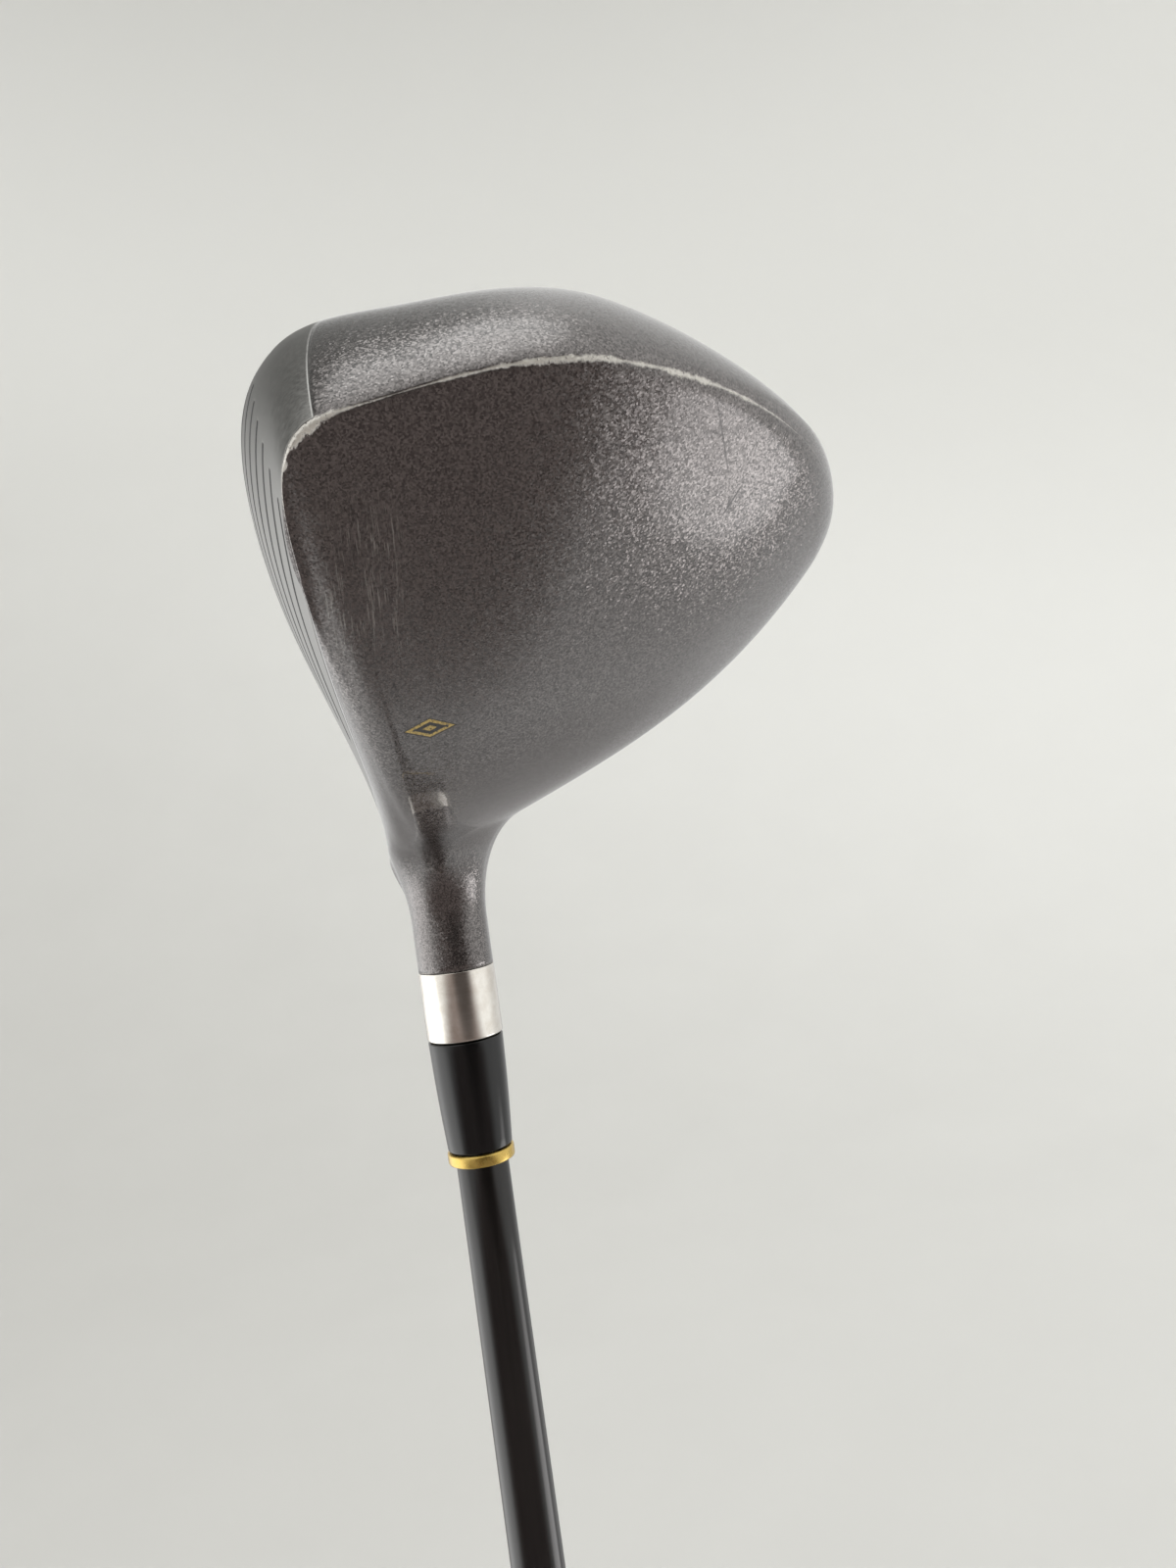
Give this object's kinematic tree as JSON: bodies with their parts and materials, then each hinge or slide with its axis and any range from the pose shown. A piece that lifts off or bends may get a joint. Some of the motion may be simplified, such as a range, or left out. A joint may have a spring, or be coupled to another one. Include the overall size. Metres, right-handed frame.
{
  "type": "golf driver",
  "caption": "Right-handed golf driver: hollow painted metal head with grooved bare steel face, collar, ferrule, tapered graphite shaft and rubber grip.",
  "frame": {"origin": "middle of the grip's butt face, on the shaft axis", "axes": "+Z along the shaft from the butt to the head, +X across the shaft towards the toe and crown, -Y towards the target, the way the face looks"},
  "size_m": [0.1067, 0.0759, 1.1532],
  "materials": {
    "head_paint": "gunmetal metallic flake paint under gloss clear coat, rubbed bare along the crown edge",
    "face_steel": "bare steel, finely brushed, with straight score lines",
    "sole_steel": "brushed steel, lightly scuffed",
    "collar_steel": "polished bare steel with fine turning marks",
    "screw_steel": "dark machined steel",
    "brass": "satin brass",
    "gold_trim": "gold coloured gloss trim",
    "ferrule_black": "polished black",
    "graphite": "black painted carbon fibre under gloss lacquer",
    "grip_rubber": "matt black moulded rubber with a pressed pattern",
    "tape": "paper masking tape",
    "plug": "dull plug",
    "adhesive": "cured epoxy",
    "foam": "cured expanded foam"
  },
  "bodies": {
    "root": {"body_shell": "head_paint", "face_cup": "face_steel", "sole_plate": "sole_steel", "sole_badge": "brass", "foam_port_screw": "screw_steel", "foam_fill": "foam", "hosel": "collar_steel", "hosel_stopper": "plug", "hosel_epoxy": "adhesive", "ferrule": "ferrule_black", "ferrule_ring": "gold_trim", "shaft": "graphite", "tip_weight": "brass", "tip_plug": "plug", "grip_tape": "tape", "grip_sleeve": "grip_rubber", "grip_cap": "grip_rubber"}
  },
  "joints": []
}
